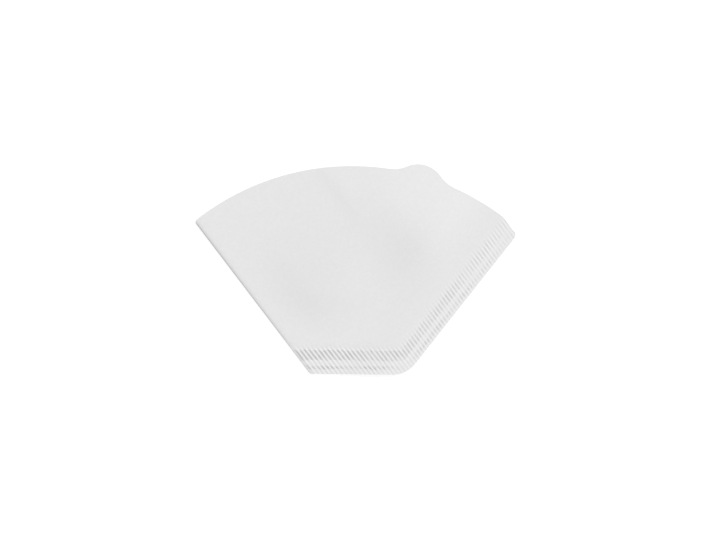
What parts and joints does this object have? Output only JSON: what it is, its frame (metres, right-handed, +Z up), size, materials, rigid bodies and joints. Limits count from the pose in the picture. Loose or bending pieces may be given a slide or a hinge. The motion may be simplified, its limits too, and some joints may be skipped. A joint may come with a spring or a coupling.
{
  "type": "cone coffee filter",
  "caption": "Flat paper coffee filter: a sheet folded down one side and crimped along the other side and the foot, with an arched open mouth and a small thumb tab.",
  "frame": {"origin": "centre of the bounding box, on the surface that the filter lies on", "axes": "+X across the fan, from the fold to the crimped side; +Y up the fan, from the foot to the mouth; +Z up, from the lower ply to the upper one"},
  "size_m": [0.1658, 0.109, 0.0029],
  "materials": {
    "paper": "matte bleached filter paper, faintly fibrous"
  },
  "bodies": {
    "root": {"filter_paper": "paper"}
  },
  "joints": []
}
